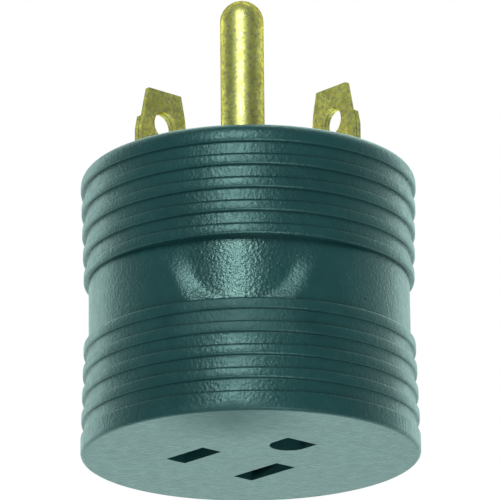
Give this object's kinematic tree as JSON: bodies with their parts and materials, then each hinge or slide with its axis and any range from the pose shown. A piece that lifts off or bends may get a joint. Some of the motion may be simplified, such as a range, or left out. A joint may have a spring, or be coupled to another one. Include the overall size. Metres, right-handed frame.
{
  "type": "caravan power adapter",
  "caption": "Compact moulded caravan mains adapter: travel-trailer plug with slanted blades and round ground pin on top, three-slot household socket in the base, ribbed grip and waist.",
  "frame": {"origin": "centre of the socket face, which the part stands on", "axes": "+Z along the plug blades, away from the socket face; the ground pin is on the -Y side, the hot blade on the -X side and the neutral blade on the +X side"},
  "size_m": [0.0454, 0.0454, 0.0617],
  "materials": {
    "jacket_pvc": "moulded soft PVC, dark grey, semi-matte",
    "bridge_nylon": "moulded glass-filled nylon, near black",
    "core_nylon": "moulded nylon, dark grey",
    "mould_polypropylene": "first-shot polypropylene, unfinished",
    "blade_brass": "rolled brass sheet, lightly tarnished",
    "pin_brass": "turned brass rod",
    "contact_brass": "stamped spring brass",
    "rivet_brass": "set brass rivet",
    "washer_steel": "zinc-plated steel"
  },
  "bodies": {
    "root": {"grip_jacket": "jacket_pvc", "plug_bridge": "bridge_nylon", "socket_core": "core_nylon", "socket_cover": "core_nylon", "inner_mould": "mould_polypropylene", "hot_blade": "blade_brass", "neutral_blade": "blade_brass", "ground_pin": "pin_brass", "ground_washer": "washer_steel", "hot_contact": "contact_brass", "neutral_contact": "contact_brass", "ground_contact": "contact_brass", "hot_link": "contact_brass", "neutral_link": "contact_brass", "ground_link": "contact_brass", "contact_rivets": "rivet_brass", "blade_rivets": "rivet_brass"}
  },
  "joints": []
}
